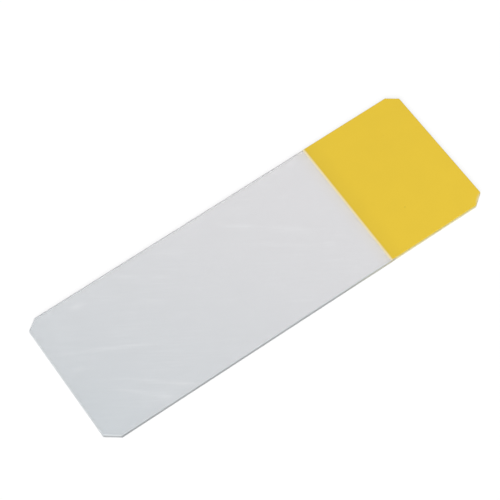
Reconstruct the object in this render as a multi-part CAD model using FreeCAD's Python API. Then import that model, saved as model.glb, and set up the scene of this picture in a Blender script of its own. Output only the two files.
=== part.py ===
"""A microscope slide: a thin glass plate with ground edges and cut corners, and a coloured
marking coat printed over one end of its upper face.

The slide lies flat. Its length runs along X with the coat at the +X end, its width along Y,
and Z points up. The origin is the centre of the underside. All sizes are in millimetres.
"""

import FreeCAD
import Part
import os

# Glass plate
LENGTH = 76.0
WIDTH = 26.0
THICKNESS = 1.0
CORNER_CUT_ALONG = 2.0  # from the square corner to the cut, along a long edge
CORNER_CUT_ACROSS = 1.5  # the same along a short edge, so the cut is a little flatter than 45 degrees
ARRIS = 0.12  # leg of the 45 degree bevel that is ground along every sharp edge

# Marking coat
COAT_LENGTH = 19.5  # from the plate's end to the straight edge of the print
COAT_THICKNESS = 0.03  # a dry screen-printed layer

PARTS_FOLDER = "parts"


def plate_outline(height):
    """The plate's outline as a flat face at this height: a rectangle with its four corners cut off."""
    half_length = LENGTH / 2
    half_width = WIDTH / 2
    first_quarter = [
        (half_length, half_width - CORNER_CUT_ACROSS),
        (half_length - CORNER_CUT_ALONG, half_width),
    ]
    upper_half = first_quarter + [(-x, y) for x, y in reversed(first_quarter)]
    corners = upper_half + [(x, -y) for x, y in reversed(upper_half)]
    points = [FreeCAD.Vector(x, y, height) for x, y in corners]
    return Part.Face(Part.makePolygon(points + points[:1]))


def sharp_edges(plate):
    """The edges all round the plate's upper and lower faces, where the arris is ground."""
    return [edge for edge in plate.Edges if edge.BoundBox.ZLength < ARRIS]


def make_glass_plate():
    """The plate is cut from float glass and then ground all round, so both faces end in an arris."""
    blank = plate_outline(0.0).extrude(FreeCAD.Vector(0, 0, THICKNESS))
    return blank.makeChamfer(ARRIS, sharp_edges(blank))


def make_marking_coat():
    """The coat covers the upper face from the plate's end to COAT_LENGTH, right up to the arris."""
    upper_flat = plate_outline(THICKNESS).makeOffset2D(-ARRIS, 2)
    layer = upper_flat.extrude(FreeCAD.Vector(0, 0, COAT_THICKNESS))
    print_edge = FreeCAD.Vector(LENGTH / 2 - COAT_LENGTH, -WIDTH / 2, THICKNESS)
    printed_end = Part.makeBox(COAT_LENGTH, WIDTH, COAT_THICKNESS, print_edge)
    return layer.common(printed_end)


def single_solid(shape, name):
    """The one solid in a shape, checked, so that a broken feature can't be exported."""
    if len(shape.Solids) != 1 or not shape.Solids[0].isValid():
        raise ValueError(f"{name} should be one valid solid")
    return shape.Solids[0]

def mark_print_edge(plate, coat):
    """The same plate with the coat's outline drawn on it, so the bare glass is a face by itself."""
    pieces = plate.generalFuse([coat])[1]
    return pieces[0][0]

def main():
    plate = single_solid(make_glass_plate(), "glass_plate")
    coat = single_solid(make_marking_coat(), "marking_coat")
    pieces = {
        "glass_plate": mark_print_edge(plate, coat),
        "marking_coat": coat,
    }
    os.makedirs(PARTS_FOLDER, exist_ok=True)
    for name, solid in pieces.items():
        solid.exportStep(os.path.join(PARTS_FOLDER, f"{name}.step"))
        print(f"{name}: {len(solid.Faces)} faces, {solid.Volume:.3f} mm3")

main()
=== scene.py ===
"""Microscope slide: the finished looks of a glass plate with ground edges and of the coloured
marking coat that is printed over one end of its upper face, with a pale studio around them.

The slide lies flat on the floor. Its length runs along X with the coat at the +X end, its width
along Y, and Z points up. Lengths are in metres, as everywhere in Blender.
"""

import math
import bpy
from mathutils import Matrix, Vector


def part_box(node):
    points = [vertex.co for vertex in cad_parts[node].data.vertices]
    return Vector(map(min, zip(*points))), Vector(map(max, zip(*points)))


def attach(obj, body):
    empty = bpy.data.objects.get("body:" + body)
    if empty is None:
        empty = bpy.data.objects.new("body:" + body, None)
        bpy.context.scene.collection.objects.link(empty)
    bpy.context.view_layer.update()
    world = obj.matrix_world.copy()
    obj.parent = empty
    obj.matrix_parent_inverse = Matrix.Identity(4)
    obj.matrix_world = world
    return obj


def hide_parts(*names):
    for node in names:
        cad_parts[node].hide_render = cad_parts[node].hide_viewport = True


bl_info = {
    "name": "Microscope Slide",
    "version": (1, 0, 0),
    "blender": (4, 5, 0),
    "location": "3D View > Sidebar > Slide",
    "description": "Builds a glass microscope slide with a printed marking coat, and its studio",
    "category": "Add Mesh",
}

import bmesh
import bpy
from bpy.props import FloatProperty, FloatVectorProperty, PointerProperty
from mathutils import Matrix, Vector, noise

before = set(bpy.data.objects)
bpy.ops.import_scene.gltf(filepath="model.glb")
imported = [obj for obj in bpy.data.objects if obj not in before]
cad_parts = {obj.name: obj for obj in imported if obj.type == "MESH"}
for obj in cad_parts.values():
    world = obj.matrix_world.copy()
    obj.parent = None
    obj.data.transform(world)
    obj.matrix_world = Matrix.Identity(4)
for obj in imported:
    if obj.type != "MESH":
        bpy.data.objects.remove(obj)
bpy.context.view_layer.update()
plate_low, plate_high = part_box("glass_plate")
coat_low, coat_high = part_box("marking_coat")

MM = 0.001
MERGE = 0.002 * MM  # points closer than this are one point
SHARP = math.radians(20)  # an edge is sharp where its faces turn by more than this
BEVEL_SLOPE = math.radians(45)  # how far the ground bevels slope down
ROUNDING_STEPS = 2  # strips of faces in which an edge is rounded
FINE_TEXTURE = 0.01 * MM  # height of the finest texture of ground glass and of ink
HORIZONTAL = 0.999  # a unit normal whose Z is at least this long belongs to a level face
UPRIGHT = 0.4  # and one whose Z is shorter than this, to an upright face
BACKWARD = 0.3  # a normal whose Y is longer than this faces the back of the slide
ENDWARD = 0.95  # and one whose -X is longer than this, the plain end
CUTWARD = 0.3  # or than this, its front corner cut


class PlateSettings(bpy.types.PropertyGroup):
    """Sizes and colours of the glass plate."""

    length: FloatProperty(
        name="Length",
        description="Length of the plate along X",
        default=plate_high.x - plate_low.x,
        unit="LENGTH",
    )
    width: FloatProperty(
        name="Width",
        description="Width of the plate along Y",
        default=plate_high.y - plate_low.y,
        unit="LENGTH",
    )
    thickness: FloatProperty(
        name="Thickness",
        description="Thickness of the glass",
        default=plate_high.z - plate_low.z,
        unit="LENGTH",
    )
    corner_cut_along: FloatProperty(
        name="Corner Cut Along",
        description="From the square corner to the cut, along a long edge",
        default=2.0 * MM,
        unit="LENGTH",
    )
    corner_cut_across: FloatProperty(
        name="Corner Cut Across",
        description="From the square corner to the cut, along a short edge",
        default=1.5 * MM,
        unit="LENGTH",
    )
    arris: FloatProperty(
        name="Arris",
        description="Leg of the bevel ground along every sharp edge",
        default=0.12 * MM,
        unit="LENGTH",
    )
    worn_edge: FloatProperty(
        name="Worn Edge",
        description="Width of the rounding left on each edge of the grinding",
        default=0.015 * MM,
        unit="LENGTH",
    )
    # Painted shade: the glass's tint where the shade painted over the plain end is deepest
    shaded_plain_end_tint: FloatVectorProperty(
        name="Plain End Tint",
        description="What the glass lets through at the plain end",
        default=(0.625, 0.662, 0.690),
        size=3,
        subtype="COLOR",
    )
    # The glass's tint at the coated end, lighter where the painted shade has gone
    lit_coated_end_tint: FloatVectorProperty(
        name="Coated End Tint",
        description="What the glass lets through beside the coat",
        default=(0.743, 0.738, 0.752),
        size=3,
        subtype="COLOR",
    )
    film_tint: FloatVectorProperty(
        name="Film Tint",
        description="What the glass lets through where wiping has left a film on it",
        default=(0.83, 0.84, 0.85),
        size=3,
        subtype="COLOR",
    )
    # Painted light: the coat's yellow light that the glass carries, painted into its tint close to
    # the coat
    coat_light_tint: FloatVectorProperty(
        name="Glow Tint",
        description="What the glass lets through close to the coat, which warms it",
        default=(0.765, 0.725, 0.665),
        size=3,
        subtype="COLOR",
    )
    # Painted shade: the front side is darker than the end and the back because of the shade that it
    # lies in
    shaded_front_colour: FloatVectorProperty(
        name="Ground Glass Colour",
        description="Colour of the ground front side of the bare glass",
        default=(0.53, 0.545, 0.555),
        size=3,
        subtype="COLOR",
    )
    # Painted light and shade: this cut lies between the shaded front side and the lit plain end
    half_lit_cut_colour: FloatVectorProperty(
        name="Cut Colour",
        description="Colour of the ground corner cut at the front of the plain end",
        default=(0.62, 0.64, 0.65),
        size=3,
        subtype="COLOR",
    )
    # Painted light: the coat's yellow light that the glass carries to the front side close to the
    # coat
    coat_lit_front_colour: FloatVectorProperty(
        name="Lit Ground Glass Colour",
        description="Colour of that side close to the coat, whose colour the glass carries there",
        default=(0.70, 0.70, 0.56),
        size=3,
        subtype="COLOR",
    )
    # Painted light: the back side is lighter than the front side because of the light that comes
    # through it
    lit_back_colour: FloatVectorProperty(
        name="Back Side Colour",
        description="Colour of the ground back side and its bevel",
        default=(0.95, 0.96, 0.97),
        size=3,
        subtype="COLOR",
    )
    # Painted light: the plain end is lighter than the front side because of the lamp's light on it
    lit_end_colour: FloatVectorProperty(
        name="Plain End Colour",
        description="Colour of the ground plain end",
        default=(0.84, 0.85, 0.86),
        size=3,
        subtype="COLOR",
    )
    # Painted shade: the bevels are painted darker than the back and the plain end
    shaded_bevel_colour: FloatVectorProperty(
        name="Bevel Colour",
        description="Colour of the other bevels, which are ground finer",
        default=(0.62, 0.65, 0.67),
        size=3,
        subtype="COLOR",
    )
    # Painted light: the coat's yellow light that the glass carries to its ground edges, painted on
    # them, fainter lower down
    coat_lit_edge_colour: FloatVectorProperty(
        name="Inked Ground Glass Colour",
        description="Colour of the ground edges round the coat, where they have taken up ink",
        default=(0.58, 0.47, 0.12),
        size=3,
        subtype="COLOR",
    )
    faintly_coat_lit_edge_colour: FloatVectorProperty(
        name="Thinly Inked Colour",
        description="Colour of those edges lower down, where less of the ink has run",
        default=(0.78, 0.72, 0.42),
        size=3,
        subtype="COLOR",
    )
    # Painted shade: where the coat's light stops, the edges are painted dark, less so towards the
    # back
    shaded_bare_edge_colour: FloatVectorProperty(
        name="Bare Edge Colour",
        description="Colour of those edges where the ink stops",
        default=(0.43, 0.405, 0.305),
        size=3,
        subtype="COLOR",
    )


class CoatSettings(bpy.types.PropertyGroup):
    """Sizes and colours of the marking coat."""

    length: FloatProperty(
        name="Length",
        description="From the plate's end to the straight edge of the print",
        default=plate_high.x - coat_low.x,
        unit="LENGTH",
    )
    thickness: FloatProperty(
        name="Thickness",
        description="Thickness of the dry ink",
        default=coat_high.z - plate_high.z,
        unit="LENGTH",
    )
    margin: FloatProperty(
        name="Margin",
        description="From the coat's rim on the bevels to the plate's upright sides",
        default=0.03 * MM,
        unit="LENGTH",
    )
    bond: FloatProperty(
        name="Bond",
        description="How far the ink reaches into the glass, so that no gap is left between them",
        default=0.004 * MM,
        unit="LENGTH",
    )
    skew: FloatProperty(
        name="Skew",
        description="How much further the print reaches along the front edge than along the back",
        default=0.32 * MM,
        unit="LENGTH",
    )
    feather: FloatProperty(
        name="Feather",
        description="Width of the thin rim in which the ink runs out on the glass",
        default=0.3 * MM,
        unit="LENGTH",
    )
    ripple: FloatProperty(
        name="Ripple",
        description="How far the print's edge strays from a straight line",
        default=0.02 * MM,
        unit="LENGTH",
    )
    colour: FloatVectorProperty(
        name="Ink Colour",
        description="Colour of the marking coat",
        default=(0.815, 0.567, 0.031),
        size=3,
        subtype="COLOR",
    )
    # The rim is pale where the ink is thin, and carries a painted highlight along the print's edge
    pale_rim_and_highlight_colour: FloatVectorProperty(
        name="Rim Colour",
        description="Colour of the thin rim, where the ink is pale",
        default=(0.84, 0.73, 0.46),
        size=3,
        subtype="COLOR",
    )


class StudioSettings(bpy.types.PropertyGroup):
    """Camera, floor and light around the slide."""

    azimuth: FloatProperty(
        name="Azimuth",
        description="Direction of the camera round the slide, from the front towards the coated end",
        default=math.radians(-30.01),
        subtype="ANGLE",
    )
    elevation: FloatProperty(
        name="Elevation",
        description="Height of the camera above the horizon",
        default=math.radians(62.915),
        subtype="ANGLE",
    )
    roll: FloatProperty(
        name="Roll",
        description="Turn of the camera about its own axis",
        default=math.radians(-5.249),
        subtype="ANGLE",
    )
    distance: FloatProperty(
        name="Distance",
        description="From the camera to the point that it looks at",
        default=321.56 * MM,
        unit="LENGTH",
    )
    aim: FloatVectorProperty(
        name="Aim",
        description="The point that the camera looks at",
        default=(0.235 * MM, 2.617 * MM, 0.5 * MM),
        size=3,
        subtype="TRANSLATION",
    )
    focal_length: FloatProperty(
        name="Focal Length",
        description="Focal length of the camera's lens, in millimetres",
        default=137.94,
        unit="CAMERA",
    )
    floor_size: FloatProperty(
        name="Floor Size",
        description="Side of the square floor",
        default=12.0,
        unit="LENGTH",
    )
    floor_gap: FloatProperty(
        name="Floor Gap",
        description="How far the floor lies below the slide, so that their faces don't meet",
        default=0.02 * MM,
        unit="LENGTH",
    )
    floor_colour: FloatVectorProperty(
        name="Floor Colour",
        description="Colour of the floor",
        default=(0.85, 0.85, 0.85),
        size=3,
        subtype="COLOR",
    )
    dome_light: FloatProperty(
        name="Dome Light",
        description="Brightness of the soft light from all round",
        default=0.4,
    )
    key_light: FloatProperty(
        name="Key Light",
        description="Brightness that the main lamp adds to a white face turned straight to it",
        default=0.82,
    )


class Wire:
    """A node's output. Arithmetic on it adds the Math nodes that work it out."""

    def __init__(self, board, socket):
        self.board = board
        self.socket = socket

    def math(self, operation, *values):
        """The result of a Math node on these values."""
        sockets = dict(enumerate(values))
        return self.board.add("ShaderNodeMath", {"operation": operation}, sockets)

    def __add__(self, other):
        return self.math("ADD", self, other)

    def __radd__(self, other):
        return self.math("ADD", other, self)

    def __sub__(self, other):
        return self.math("SUBTRACT", self, other)

    def __rsub__(self, other):
        return self.math("SUBTRACT", other, self)

    def __mul__(self, other):
        return self.math("MULTIPLY", self, other)

    def __rmul__(self, other):
        return self.math("MULTIPLY", other, self)

    def __truediv__(self, other):
        return self.math("DIVIDE", self, other)

    def __rtruediv__(self, other):
        return self.math("DIVIDE", other, self)

    def __pow__(self, other):
        return self.math("POWER", self, other)

    def __rpow__(self, other):
        return self.math("POWER", other, self)

    def at_least(self, other):
        """The larger of the two values."""
        return self.math("MAXIMUM", self, other)

    def rises(self, start, end):
        """0 at start and 1 at end, with a smooth step between them."""
        settings = {"interpolation_type": "SMOOTHSTEP", "clamp": True}
        sockets = {"Value": self, "From Min": start, "From Max": end}
        return self.board.add("ShaderNodeMapRange", settings, sockets)


class Board:
    """The nodes of one material or world, and the one way in which they are added."""

    def __init__(self, owner):
        owner.use_nodes = True
        self.tree = owner.node_tree
        self.tree.nodes.clear()

    def add(self, kind, settings=None, sockets=None, output=0):
        """Adds a node, sets its settings, fills its sockets and returns one of its outputs."""
        node = self.tree.nodes.new(kind)
        for name, value in (settings or {}).items():
            setattr(node, name, value)
        for key, value in (sockets or {}).items():
            socket = self.find(node.inputs, key)
            if isinstance(value, Wire):
                self.tree.links.new(value.socket, socket)
            else:
                socket.default_value = value
        return Wire(self, self.find(node.outputs, output)) if len(node.outputs) else None

    @staticmethod
    def find(sockets, key):
        """The socket with that identifier, name or number."""
        for socket in sockets:
            if socket.identifier == key:
                return socket
        return sockets[key]

    def blend(self, factor, first, second):
        """A colour that goes from first to second as factor goes from 0 to 1."""
        colours = {"Factor_Float": factor, "A_Color": rgba(first), "B_Color": rgba(second)}
        settings = {"data_type": "RGBA"}
        return self.add("ShaderNodeMix", settings, colours, "Result_Color")

    def shade(self, colour, amount):
        """A colour made lighter or darker by a grey amount."""
        sockets = {"Vector": colour, "Scale": amount}
        return self.add("ShaderNodeVectorMath", {"operation": "SCALE"}, sockets)

    def place(self, origin=(0, 0, 0), turn=0.0, unit=(1, 1, 1)):
        """Object coordinates seen from an origin, turned about Z and measured in that unit.

        The origin and the unit are in millimetres.
        """
        sockets = {
            "Vector": self.add("ShaderNodeTexCoord", output="Object"),
            "Location": [length * MM for length in origin],
            "Rotation": (0, 0, turn),
            "Scale": [length * MM for length in unit],
        }
        return self.add("ShaderNodeMapping", {"vector_type": "TEXTURE"}, sockets)

    def measure(self, axis, turn=0.0):
        """Millimetres along an axis of the slide, after that turn about Z."""
        sockets = {"Vector": self.place(turn=turn)}
        return self.add("ShaderNodeSeparateXYZ", sockets=sockets, output=axis)

    def grain(self, spots, turn=0.0, detail=2.0):
        """Noise between 0 and 1, centred on a half, in spots of that size in millimetres."""
        sockets = {"Vector": self.place(turn=turn, unit=spots), "Scale": 1.0, "Detail": detail}
        return self.add("ShaderNodeTexNoise", sockets=sockets, output="Fac")

    def bump(self, height, strength):
        """A surface normal bent by that height, where 1 stands for FINE_TEXTURE."""
        sockets = {"Height": height, "Strength": strength, "Distance": FINE_TEXTURE}
        return self.add("ShaderNodeBump", sockets=sockets)

    def show(self, shader, output="ShaderNodeOutputMaterial"):
        """Shows a shader on the material, or on the world through its kind of output."""
        self.add(output, sockets={"Surface": shader})

    def surface(self, sockets):
        """Shows the Principled shader with these values in its sockets."""
        self.show(self.add("ShaderNodeBsdfPrincipled", sockets=sockets))


def rgba(colour):
    """A colour as a node's socket takes it, or the wire that it is."""
    return colour if isinstance(colour, Wire) else (*colour, 1.0)


def block(low, high):
    """A mesh block between its lowest and highest corners."""
    shape = bmesh.new()
    bmesh.ops.create_cube(shape, size=1.0)
    bmesh.ops.scale(shape, vec=high - low, verts=shape.verts)
    bmesh.ops.translate(shape, vec=(low + high) / 2, verts=shape.verts)
    return shape


def everything(shape):
    """All vertices, edges and faces of a mesh."""
    return shape.verts[:] + shape.edges[:] + shape.faces[:]


# Each corner is ground by itself: how large its cut is, against the one in the settings.
CORNER_CUTS = {(-1, -1): 1.25, (-1, 1): 1.0, (1, -1): 1.04, (1, 1): 1.0}


def straight_borders(plate):
    """A point on each long side and each end of the plate, and the way that it faces."""
    reach = Vector((plate.length / 2, plate.width / 2, 0))
    for outward in (Vector((1, 0, 0)), Vector((0, 1, 0))):
        for side in (-1, 1):
            yield side * reach, side * outward


def corner_borders(plate):
    """A point on each of the plate's corner cuts, and the way that it faces."""
    for (side_x, side_y), size in CORNER_CUTS.items():
        cut_end = plate.width / 2 - plate.corner_cut_across * size
        on_cut = Vector((side_x * plate.length / 2, side_y * cut_end, 0))
        outward = Vector((side_x * plate.corner_cut_across, side_y * plate.corner_cut_along, 0))
        yield on_cut, outward.normalized()


def trim(shape, point, outward):
    """Cuts off what lies outward of the point, and closes the cut."""
    bmesh.ops.bisect_plane(
        shape, geom=everything(shape), plane_co=point, plane_no=outward, clear_outer=True
    )
    bmesh.ops.holes_fill(shape, edges=shape.edges[:])


def grind_bevel(shape, point, outward, level, leg):
    """Cuts a bevel of that leg along the edge where a border meets the top or the bottom."""
    tilt = Vector((0, 0, 1 if level > 0 else -1))
    on_bevel = Vector((point.x, point.y, level)) - outward * leg
    trim(shape, on_bevel, (outward + tilt).normalized())


def close_up(shape):
    """Merges the points in which several cuts meet, and turns every face outwards."""
    bmesh.ops.remove_doubles(shape, verts=shape.verts[:], dist=MERGE)
    bmesh.ops.recalc_face_normals(shape, faces=shape.faces[:])


def score(shape, point, outward):
    """Divides the faces along the plane through the point, and cuts nothing off."""
    bmesh.ops.bisect_plane(shape, geom=everything(shape), plane_co=point, plane_no=outward)


def is_flat(face):
    """True for a face that lies level."""
    return abs(face.normal.z) > HORIZONTAL


def is_keen(edge):
    """True for the lower edges at the back, which are hardly ground."""
    lowest = all(vertex.co.z < MERGE and vertex.co.y > 0 for vertex in edge.verts)
    return lowest and any(face.normal.y > BACKWARD for face in edge.link_faces)


def round_edges(shape, edges, width):
    """Bevels these edges by that width on each side."""
    bmesh.ops.bevel(
        shape,
        geom=edges,
        offset=width,
        segments=ROUNDING_STEPS,
        profile=0.5,
        affect="EDGES",
        material=-1,
    )


def finish_piece(shape, name, materials, node):
    """Makes the mesh a piece that stands for a solid of the frame."""
    mesh = bpy.data.meshes.new(name)
    shape.to_mesh(mesh)
    shape.free()
    for material in materials:
        mesh.materials.append(material)
    piece = bpy.data.objects.new(name, mesh)
    bpy.context.scene.collection.objects.link(piece)
    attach(piece, "root")
    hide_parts(node)


class Mark:
    """A soft oval mark, such as a streak that wiping left.

    Its centre, length and width are in millimetres, and its turn about Z in degrees.
    """

    def __init__(self, x, y, length, width, turn, strength):
        self.centre = (x, y, 0)
        self.unit = (length / 2, width / 2, 1)
        self.turn = math.radians(turn)
        self.strength = strength

    def mask(self, board):
        """The mark's strength at its centre, which fades to 0 at its rim."""
        seen = board.place(self.centre, self.turn, self.unit)
        flat = board.add(
            "ShaderNodeVectorMath", {"operation": "MULTIPLY"}, {0: seen, 1: (1, 1, 0)}
        )
        distance = board.add(
            "ShaderNodeVectorMath", {"operation": "LENGTH"}, {0: flat}, "Value"
        )
        return distance.rises(1.0, 0.0) * self.strength


# The streaks and smears that wiping left: x, y, length, width, turn and strength of each
WIPE_MARKS = (
    Mark(-29.5, 1.5, 24.0, 0.8, -28, 1.1),
    Mark(-25.4, -0.8, 11.0, 0.7, -29, 0.25),
    Mark(-29.0, -8.2, 15.0, 1.2, -45, 0.6),
    Mark(-25.7, -11.5, 4.5, 1.7, -43, 0.6),
    Mark(-25.2, -8.7, 17.0, 1.3, -40, 0.7),
    Mark(-22.4, -11.2, 7.0, 2.2, -37, 0.55),
    Mark(-26.0, -10.8, 14.0, 5.0, -12, 0.4),
    Mark(-25.0, -9.5, 28.0, 16.0, -5, 0.22),
    Mark(-29.0, 10.8, 4.0, 1.8, -15, 1.0),
    Mark(-24.5, 8.8, 8.0, 1.0, -28, 0.4),
    Mark(-19.5, 10.6, 6.0, 1.0, -36, 0.7),
    Mark(-10.8, 9.8, 12.0, 1.8, -32, 0.5),
    Mark(-14.8, 7.2, 5.0, 0.9, -32, 0.7),
    Mark(-18.3, 4.2, 7.5, 1.6, -38, 0.45),
    Mark(0.8, 7.7, 12.0, 1.0, -38, 0.95),
    Mark(2.6, 6.5, 4.5, 1.0, -36, 0.5),
    Mark(7.8, 1.8, 12.0, 2.4, -40, 0.7),
    Mark(4.0, 1.0, 22.0, 0.8, -37, 0.5),
    Mark(11.8, -4.4, 3.5, 1.2, -40, 0.7),
    Mark(10.5, 7.5, 2.2, 1.5, 0, 0.5),
    Mark(-35.0, 1.0, 3.5, 1.2, -20, 0.6),
)
# Dirt in the ink
SPECKS = (
    Mark(25.95, -6.28, 0.30, 0.22, 20, 1.0),
    Mark(31.40, 7.10, 0.16, 0.14, 0, 0.5),
    Mark(22.30, 3.90, 0.14, 0.12, 0, 0.4),
)
WORN_CORNER = Mark(36.97, -12.22, 3.4, 1.0, 37, 0.65)  # where handling has thinned the ink

# The finishes. Lengths are in millimetres. SPOTS are the sizes of a noise's spots along X, Y and Z,
# and a SHARE is how far something changes a colour, or brings another one, at its strongest.

# Polished glass
GLASS_IOR = 1.52
CLEAR_ROUGHNESS = 0.03
FILM_ROUGHNESS = 0.12  # what a full film adds to it
FILM_SHARE = 0.3  # how far a full film brings its own tint
WIPE_TURN = math.radians(-33)  # the direction in which the slide was wiped
BROAD_STREAK_SPOTS = (9, 0.5, 1)
FINE_STREAK_SPOTS = (5, 0.22, 1)
HAZE_SPOTS = (9, 9, 1)  # the patches in which the streaks are stronger
STREAK_STEP = (0.4, 0.8)  # a streak goes from none to full between these values of its noise,
PATCH_STEP = (0.35, 0.65)  # a patch between these,
BREAK_STEP = (0.3, 0.7)  # and the fine streaks that break up the wiped marks, between these
BROAD_HAZE = 0.35  # strength of the broad streaks
FINE_HAZE = 0.3  # and of the fine ones
EVEN_HAZE = 0.3  # and what is left of both between the patches
EVEN_MARK = 0.4  # what is left of a wiped mark between the streaks that break it up
SHADING_TURN = math.radians(29)  # the direction in which the painted shade over the glass changes
SHADING_START = -40  # where it starts to, from the slide's middle
SHADING_SPAN = 62  # and in what length it is done
SHADING_POWER = 1.6  # above 1, it changes faster at first than at last
GLOW_SPAN = 3.5  # how far from itself the coat's light, painted into the glass, reaches
GLOW_POWER = 2  # above 1, more of that is close to the coat
GLOW_SHARE = 0.5

# Ground glass: the share of the light that each finish lets through, and its roughness
GRINDING = {
    "ground_front": (0.7, 0.58),
    "ground_back": (0.65, 0.27),
    "ground_end": (0.35, 0.58),
    "ground_cut": (0.7, 0.58),
    "ground_bevel": (0.6, 0.25),
    "coat_lit_edge": (0.1, 0.4),
}
SCRATCH_SPOTS = (3, 3, 0.05)
SCRATCH_SHARE = 0.2  # how much lighter a scratch is
SCRATCH_ROUGHNESS = 0.2  # how much rougher it is
SCRATCH_BUMP = 0.1  # how strongly it bends the surface
GROUND_SPOTS = (1.5, 1.5, 1.5)
GROUND_SHARE = 0.1  # how much lighter a spot of the ground surface is
GROUND_BASE = 0.85  # and how light the surface is without spots and scratches
LIT_SPAN = 14  # how far from itself the coat's painted light reaches along the front side
DIM_START = 27  # how far from the coat the painted shade on the front side starts to deepen
DIM_END = 55  # how far from it that is full
DIM_SHARE = 0.14

# Edges with the coat's painted light
STRAY_SPOTS = (0.7, 0.7, 2)  # the patches in which the coat's painted light strays
STRAY_UP = 0.7  # how far they stray up and down
STRAY_ALONG = 0.6  # and along the edge, where the painted light stops
FULLY_LIT_HEIGHT = 0.85  # above this height the coat's painted light on the edges is full
FAINTLY_LIT_HEIGHT = 0.35  # and below this one, faint
COAT_LIT_START = 0.1  # how far into the coat its painted light on the edges starts
COAT_LIT_END = 1.0  # how far into it that is full
BARE_FRONT = -12  # across the slide, the painted shade on the bare edge gets lighter from here
BARE_BACK = 12  # to here
BARE_SHARE = 0.45

# Printed ink
CLOUD_SPOTS = (4, 4, 4)
CLOUD_SHARE = 0.05  # how much lighter the ink is in a cloud than between clouds
STIPPLE_SPOTS = (0.12, 0.12, 0.12)  # the texture that the printing screen left
STIPPLE_ROUGHNESS = 0.2
STIPPLE_BUMP = 0.25
INK_ROUGHNESS = 0.5
BACK_SHARE = 0.02  # how much darker the ink is at the back side than at the front side
HEAVY_SPAN = 3.5  # how far into the coat the ink is heavier
HEAVY_SHARE = 0.05
LINE_START = 0.6  # how far into the coat the heavy line beside the print's edge starts
LINE_END = 0.1  # how far into it that line is full
LINE_SHARE = 0.03
BEND_TOP = 1.02  # the height at which the ink starts to bend down over the bevels
BEND_LOW = 0.95  # and the one at which it is fully on them
BEND_SHARE = 0.05  # how much darker it is painted there, as shade on the bent ink
BEND_CLOUD_SHARE = 0.2  # and how much darker still in a cloud
SPECK_SHARE = 0.5
THIN_START = 0.2  # how far into the coat the ink starts to thin and pale, with a painted highlight on its edge
THIN_END = -0.14  # and where it is as thin as at its rim


def past_print_edge(board, plate, coat):
    """Millimetres from the print edge, counted into the coat."""
    skewed = board.measure("X") - board.measure("Y") * (coat.skew / plate.width)
    return skewed - (plate.length / 2 - coat.length) / MM


def wipe_film(board):
    """How much film wiping has left on the glass, from 0 for none."""
    broad = board.grain(BROAD_STREAK_SPOTS, WIPE_TURN, detail=3.0)
    fine = board.grain(FINE_STREAK_SPOTS, WIPE_TURN)
    marks = sum(mark.mask(board) for mark in WIPE_MARKS)
    streaked = marks * (fine.rises(*BREAK_STEP) * (1 - EVEN_MARK) + EVEN_MARK)
    haze = broad.rises(*STREAK_STEP) * BROAD_HAZE + fine.rises(*STREAK_STEP) * FINE_HAZE
    patches = board.grain(HAZE_SPOTS, detail=1.0).rises(*PATCH_STEP)
    return streaked + haze * (patches + EVEN_HAZE)


def make_polished_glass(plate, coat):
    """Clear float glass with the film that wiping left, painted darker and cooler towards the plain
    end as shade, and painted warm with the coat's light close to it.
    """
    material = bpy.data.materials.new("polished_glass")
    board = Board(material)
    film = wipe_film(board)
    # Painted shade: the tint is darker and cooler towards the plain end
    reach = (board.measure("X", SHADING_TURN) - SHADING_START) / SHADING_SPAN
    ease = 1 - (1 - reach).at_least(0) ** SHADING_POWER
    clear = board.blend(ease, plate.shaded_plain_end_tint, plate.lit_coated_end_tint)
    # Painted light: the coat's warm light in the glass close to it
    glow = past_print_edge(board, plate, coat).rises(-GLOW_SPAN, 0) ** GLOW_POWER
    clear = board.blend(glow * GLOW_SHARE, clear, plate.coat_light_tint)
    board.surface(
        {
            "Base Color": board.blend(film * FILM_SHARE, clear, plate.film_tint),
            "Roughness": film * FILM_ROUGHNESS + CLEAR_ROUGHNESS,
            "IOR": GLASS_IOR,
            "Transmission Weight": 1.0,
        }
    )
    return material


def grind(board, colour, finish):
    """Shows a ground surface of that colour, with its fine scratches along the edge."""
    clearness, roughness = GRINDING[finish]
    scratches = board.grain(SCRATCH_SPOTS, detail=4.0)
    spots = board.grain(GROUND_SPOTS)
    tone = scratches * SCRATCH_SHARE + spots * GROUND_SHARE + GROUND_BASE
    board.surface(
        {
            "Base Color": board.shade(colour, tone),
            "Roughness": scratches * SCRATCH_ROUGHNESS + roughness,
            "IOR": GLASS_IOR,
            "Transmission Weight": clearness,
            "Normal": board.bump(scratches, SCRATCH_BUMP),
        }
    )


def make_ground_glass(finish, colour):
    """The dull finish that grinding leaves, in one colour."""
    material = bpy.data.materials.new(finish)
    grind(Board(material), colour, finish)
    return material


def make_ground_front(plate, coat):
    """The ground front side in painted shade, deepest at the plain end, with the coat's yellow light
    painted on it at the other end.
    """
    material = bpy.data.materials.new("ground_front")
    board = Board(material)
    nearness = past_print_edge(board, plate, coat)
    lit = nearness.rises(-LIT_SPAN, 0)
    colour = board.blend(lit, plate.shaded_front_colour, plate.coat_lit_front_colour)
    dim = nearness.rises(-DIM_START, -DIM_END) * DIM_SHARE
    grind(board, board.shade(colour, 1 - dim), "ground_front")
    return material


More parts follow.
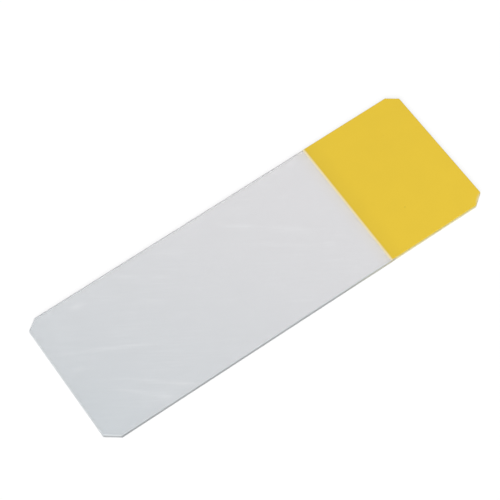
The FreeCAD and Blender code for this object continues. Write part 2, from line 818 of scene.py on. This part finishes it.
def make_coat_lit_edge(plate, coat):
    """The ground edges round the coat, with the coat's yellow light painted on them, and painted
    shade where that light stops.
    """
    material = bpy.data.materials.new("coat_lit_edge")
    board = Board(material)
    strays = board.grain(STRAY_SPOTS, detail=3.0) - 0.5
    # The coat's painted light is full high on the edges and faint lower down
    low = (board.measure("Z") + strays * STRAY_UP).rises(FULLY_LIT_HEIGHT, FAINTLY_LIT_HEIGHT)
    light_and_wear = board.blend(low, plate.coat_lit_edge_colour, plate.faintly_coat_lit_edge_colour)
    light_and_wear = board.blend(WORN_CORNER.mask(board), light_and_wear, coat.pale_rim_and_highlight_colour)
    # Painted shade where the coat's light stops, lighter towards the back
    lighter = board.measure("Y").rises(BARE_FRONT, BARE_BACK) * BARE_SHARE
    bare = board.shade(plate.shaded_bare_edge_colour, lighter + 1)
    past_edge = past_print_edge(board, plate, coat) + strays * STRAY_ALONG
    coat_lit = past_edge.rises(COAT_LIT_START, COAT_LIT_END)
    grind(board, board.blend(coat_lit, bare, light_and_wear), "coat_lit_edge")
    return material


def make_ink(plate, coat):
    """A matt printed layer with the fine texture of the screen that it was pressed through."""
    material = bpy.data.materials.new("printed_ink")
    board = Board(material)
    inside = past_print_edge(board, plate, coat)
    clouds = board.grain(CLOUD_SPOTS, detail=3.0)
    stipple = board.grain(STIPPLE_SPOTS)
    side = plate.width / 2 / MM
    at_back = board.measure("Y").rises(-side, side) * BACK_SHARE
    near_edge = inside.rises(HEAVY_SPAN, 0) * HEAVY_SHARE
    in_line = inside.rises(LINE_START, LINE_END) * LINE_SHARE
    heavy = at_back + near_edge + in_line
    # Painted shade: the ink is darker where it bends down over the bevels, unevenly in clouds
    on_bevel = board.measure("Z").rises(BEND_TOP, BEND_LOW)
    bent_shade = on_bevel * (clouds * BEND_CLOUD_SHARE + BEND_SHARE)
    clean = 1 + (clouds - 0.5) * CLOUD_SHARE - heavy - bent_shade
    specks = sum(speck.mask(board) for speck in SPECKS)
    colour = board.shade(coat.colour, clean * (1 - specks * SPECK_SHARE))
    # The pale thin rim with its painted highlight, and the worn corner
    thin = inside.rises(THIN_START, THIN_END).at_least(WORN_CORNER.mask(board))
    board.surface(
        {
            "Base Color": board.blend(thin, colour, coat.pale_rim_and_highlight_colour),
            "Roughness": (stipple - 0.5) * STIPPLE_ROUGHNESS + INK_ROUGHNESS,
            "Normal": board.bump(stipple, STIPPLE_BUMP),
        }
    )
    return material


def plate_finish(face, print_edge):
    """The name of the finish that a face of the plate has."""
    if is_flat(face):
        return "polished_glass"
    if face.calc_center_median().x > print_edge:
        return "coat_lit_edge"
    if face.normal.y > BACKWARD:
        return "ground_back"
    if abs(face.normal.z) > UPRIGHT:
        return "ground_bevel"
    if face.normal.x < -ENDWARD:
        return "ground_end"
    return "ground_cut" if face.normal.x < -CUTWARD else "ground_front"


class MESH_OT_slide_glass_plate(bpy.types.Operator):
    """Builds the glass plate with its cut corners and ground edges"""

    bl_idname = "mesh.slide_glass_plate"
    bl_label = "Glass Plate"
    bl_options = {"REGISTER", "UNDO"}

    def execute(self, context):
        plate = context.scene.slide_plate
        coat = context.scene.slide_coat
        print_edge = plate.length / 2 - coat.length
        # The ground finishes are lit and shaded copies of one ground glass, one for each way that a
        # face turns
        materials = {
            "polished_glass": make_polished_glass(plate, coat),
            "ground_front": make_ground_front(plate, coat),
            "ground_back": make_ground_glass("ground_back", plate.lit_back_colour),
            "ground_end": make_ground_glass("ground_end", plate.lit_end_colour),
            "ground_cut": make_ground_glass("ground_cut", plate.half_lit_cut_colour),
            "ground_bevel": make_ground_glass("ground_bevel", plate.shaded_bevel_colour),
            "coat_lit_edge": make_coat_lit_edge(plate, coat),
        }
        finishes = list(materials)
        shape = self.grind_plate(plate)
        score(shape, Vector((print_edge, 0, 0)), Vector((1, 0, 0)))
        for face in shape.faces:
            face.material_index = finishes.index(plate_finish(face, print_edge))
        finish_piece(
            shape, "ground_edge_plate", materials.values(), "glass_plate"
        )
        return {"FINISHED"}

    def grind_plate(self, plate):
        """The plate's mesh, with cut corners, ground bevels and rounded edges."""
        reach = Vector((plate.length / 2, plate.width / 2, 0))
        shape = block(-reach, reach + Vector((0, 0, plate.thickness)))
        for point, outward in corner_borders(plate):
            trim(shape, point, outward)
        for point, outward in (*straight_borders(plate), *corner_borders(plate)):
            grind_bevel(shape, point, outward, plate.thickness, plate.arris)
            if outward.y < BACKWARD:
                grind_bevel(shape, point, outward, 0.0, plate.arris)
        close_up(shape)
        sharp = [
            edge
            for edge in shape.edges
            if edge.calc_face_angle(0) > SHARP and not is_keen(edge)
        ]
        round_edges(shape, sharp, plate.worn_edge)
        return shape


RIPPLE_STEPS = 52  # divisions of the coat across the plate, for the ripple in its print edge
RIPPLE_LENGTH = 1.3 * MM  # about how long each wave of that ripple is


class MESH_OT_slide_marking_coat(bpy.types.Operator):
    """Builds the printed marking coat on the plate's upper face"""

    bl_idname = "mesh.slide_marking_coat"
    bl_label = "Marking Coat"
    bl_options = {"REGISTER", "UNDO"}

    def execute(self, context):
        plate = context.scene.slide_plate
        coat = context.scene.slide_coat
        print_edge = plate.length / 2 - coat.length
        borders = [
            (point, outward)
            for point, outward in (*straight_borders(plate), *corner_borders(plate))
            if point.x > print_edge or outward.x == 0
        ]
        shape = self.lay_film(plate, coat, print_edge, borders)
        self.divide(shape, plate, print_edge)
        self.run_out(shape, plate, coat, print_edge, borders)
        finish_piece(
            shape, "printed_coat", [make_ink(plate, coat)], "marking_coat"
        )
        return {"FINISHED"}

    def lay_film(self, plate, coat, print_edge, borders):
        """An even film of ink on the coated end, which bends down over its bevels."""
        low = Vector((print_edge - coat.feather, -plate.width / 2, 0))
        high = Vector((plate.length / 2, plate.width / 2, plate.thickness + coat.thickness))
        shape = block(low, high)
        bend = plate.arris - coat.thickness * math.tan(BEVEL_SLOPE / 2)
        for point, outward in borders:
            trim(shape, point - outward * coat.margin, outward)
            grind_bevel(shape, point, outward, high.z, bend)
        close_up(shape)
        hidden = [face for face in shape.faces if face.normal.z < UPRIGHT]
        bmesh.ops.delete(shape, geom=hidden, context="FACES")
        rims = [
            edge
            for edge in shape.edges
            if edge.is_boundary and max(vertex.co.x for vertex in edge.verts) > print_edge
        ]
        bmesh.ops.solidify(shape, geom=shape.faces[:], thickness=coat.thickness + coat.bond)
        rim_rounding = coat.thickness / 3
        round_edges(shape, rims, rim_rounding)
        return shape

    def divide(self, shape, plate, print_edge):
        """Divides the film where the thin rim of the print begins, and in strips across it."""
        score(shape, Vector((print_edge, 0, 0)), Vector((1, 0, 0)))
        reach = plate.width / 2 - plate.arris
        for step in range(RIPPLE_STEPS + 1):
            across = reach * (2 * step / RIPPLE_STEPS - 1)
            score(shape, Vector((0, across, 0)), Vector((0, 1, 0)))

    def run_out(self, shape, plate, coat, print_edge, borders):
        """Thins the film to nothing at the print's edge, and lets that edge skew and ripple."""
        for vertex in shape.verts:
            if vertex.co.x < print_edge - coat.feather / 2:
                past_bend = [
                    (vertex.co - point).dot(outward) + plate.arris for point, outward in borders
                ]
                height = vertex.co.z - plate.thickness + max(0, *past_bend)
                vertex.co.z -= max(0, height - coat.bond)
            if vertex.co.x < print_edge + coat.feather / 2:
                stray = noise.noise(Vector((0, vertex.co.y / RIPPLE_LENGTH, 0)))
                vertex.co.x += coat.skew * vertex.co.y / plate.width + coat.ripple * stray


FLOOR_GLOW = 1.115  # brightness of the floor's own light, which makes it look white
FLOOR_GLOW_SHARE = 0.7  # how much of what is seen of the floor is that, and not its lit paint
KEY_AZIMUTH = math.radians(-45)
KEY_ELEVATION = math.radians(42)
KEY_SPREAD = math.radians(40)  # how wide the main lamp is, which makes its shadows soft
NEAREST = 10 * MM  # what is nearer to the camera than this doesn't show


def direction(azimuth, elevation):
    """The unit vector towards that azimuth, counted from the front towards +X, and elevation."""
    level = math.cos(elevation)
    return Vector(
        (math.sin(azimuth) * level, -math.cos(azimuth) * level, math.sin(elevation))
    )


def seen_directly(board):
    """1 for what the camera sees straight, in a reflection or through glass, and 0 for lighting."""
    seen = 0.0
    for ray in ("Is Camera Ray", "Is Glossy Ray", "Is Transmission Ray"):
        seen = board.add("ShaderNodeLightPath", output=ray).at_least(seen)
    return seen


class SCENE_OT_slide_studio(bpy.types.Operator):
    """Sets the slide on a pale floor, lights it softly and aims the camera at it"""

    bl_idname = "scene.slide_studio"
    bl_label = "Studio"
    bl_options = {"REGISTER", "UNDO"}

    def execute(self, context):
        studio = context.scene.slide_studio
        self.make_floor(context, studio)
        self.light_dome(context, studio)
        self.hang_key_lamp(context, studio)
        self.place_camera(context, studio)
        context.scene.view_settings.view_transform = "Standard"
        return {"FINISHED"}

    def make_floor(self, context, studio):
        """A floor that looks white and keeps the slide's shadow."""
        shape = bmesh.new()
        bmesh.ops.create_grid(shape, x_segments=1, y_segments=1, size=studio.floor_size / 2)
        bmesh.ops.translate(shape, vec=(0, 0, -studio.floor_gap), verts=shape.verts)
        mesh = bpy.data.meshes.new("floor")
        shape.to_mesh(mesh)
        shape.free()
        material = bpy.data.materials.new("floor")
        board = Board(material)
        paint = board.add(
            "ShaderNodeBsdfDiffuse", sockets={"Color": rgba(studio.floor_colour)}
        )
        white = board.add("ShaderNodeEmission", sockets={"Strength": FLOOR_GLOW})
        glowing = seen_directly(board) * FLOOR_GLOW_SHARE
        board.show(board.add("ShaderNodeMixShader", sockets={"Fac": glowing, 1: paint, 2: white}))
        mesh.materials.append(material)
        floor = bpy.data.objects.new("floor", mesh)
        context.scene.collection.objects.link(floor)

    def light_dome(self, context, studio):
        """Soft light from all round, which looks white where it is seen."""
        world = bpy.data.worlds.new("studio")
        context.scene.world = world
        board = Board(world)
        seen = seen_directly(board)
        strength = seen + (1 - seen) * studio.dome_light
        white = {"Color": rgba((1, 1, 1)), "Strength": strength}
        dome = board.add("ShaderNodeBackground", sockets=white)
        board.show(dome, "ShaderNodeOutputWorld")

    def hang_key_lamp(self, context, studio):
        """The main lamp, whose brightness is that of a white face turned straight to it."""
        data = bpy.data.lights.new("key_lamp", "SUN")
        data.energy = studio.key_light * math.pi
        data.angle = KEY_SPREAD
        lamp = bpy.data.objects.new("key_lamp", data)
        towards = direction(KEY_AZIMUTH, KEY_ELEVATION)
        lamp.rotation_euler = towards.to_track_quat("Z", "Y").to_euler()
        context.scene.collection.objects.link(lamp)

    def place_camera(self, context, studio):
        """The camera, aimed at a point of the slide and turned about its own axis."""
        data = bpy.data.cameras.new("camera")
        data.lens = studio.focal_length
        data.clip_start = NEAREST
        camera = bpy.data.objects.new("camera", data)
        back = direction(studio.azimuth, studio.elevation)
        upright = back.to_track_quat("Z", "Y").to_matrix().to_4x4()
        camera.matrix_world = (
            Matrix.Translation(Vector(studio.aim) + back * studio.distance)
            @ upright
            @ Matrix.Rotation(studio.roll, 4, "Z")
        )
        context.scene.collection.objects.link(camera)
        context.scene.camera = camera


class VIEW3D_PT_microscope_slide(bpy.types.Panel):
    """Lists the slide's operators and its sizes and colours"""

    bl_idname = "VIEW3D_PT_microscope_slide"
    bl_label = "Microscope Slide"
    bl_space_type = "VIEW_3D"
    bl_region_type = "UI"
    bl_category = "Slide"

    def draw(self, context):
        for settings, operator in STEPS:
            group = getattr(context.scene, settings)
            box = self.layout.box()
            for name in group.bl_rna.properties.keys():
                if name not in ("rna_type", "name"):
                    box.prop(group, name)
            box.operator(operator)


SETTINGS = {
    "slide_plate": PlateSettings,
    "slide_coat": CoatSettings,
    "slide_studio": StudioSettings,
}
STEPS = (
    ("slide_plate", "mesh.slide_glass_plate"),
    ("slide_coat", "mesh.slide_marking_coat"),
    ("slide_studio", "scene.slide_studio"),
)
CLASSES = (
    *SETTINGS.values(),
    MESH_OT_slide_glass_plate,
    MESH_OT_slide_marking_coat,
    SCENE_OT_slide_studio,
    VIEW3D_PT_microscope_slide,
)


def register():
    """Adds the settings, the operators and the panel."""
    for cls in CLASSES:
        bpy.utils.register_class(cls)
    for name, cls in SETTINGS.items():
        setattr(bpy.types.Scene, name, PointerProperty(type=cls))


def unregister():
    """Takes them away again."""
    for name in SETTINGS:
        delattr(bpy.types.Scene, name)
    for cls in reversed(CLASSES):
        bpy.utils.unregister_class(cls)


def main():
    """Builds the slide and its studio."""
    register()
    bpy.ops.mesh.slide_glass_plate()
    bpy.ops.mesh.slide_marking_coat()
    bpy.ops.scene.slide_studio()


if __name__ == "__main__":
    main()
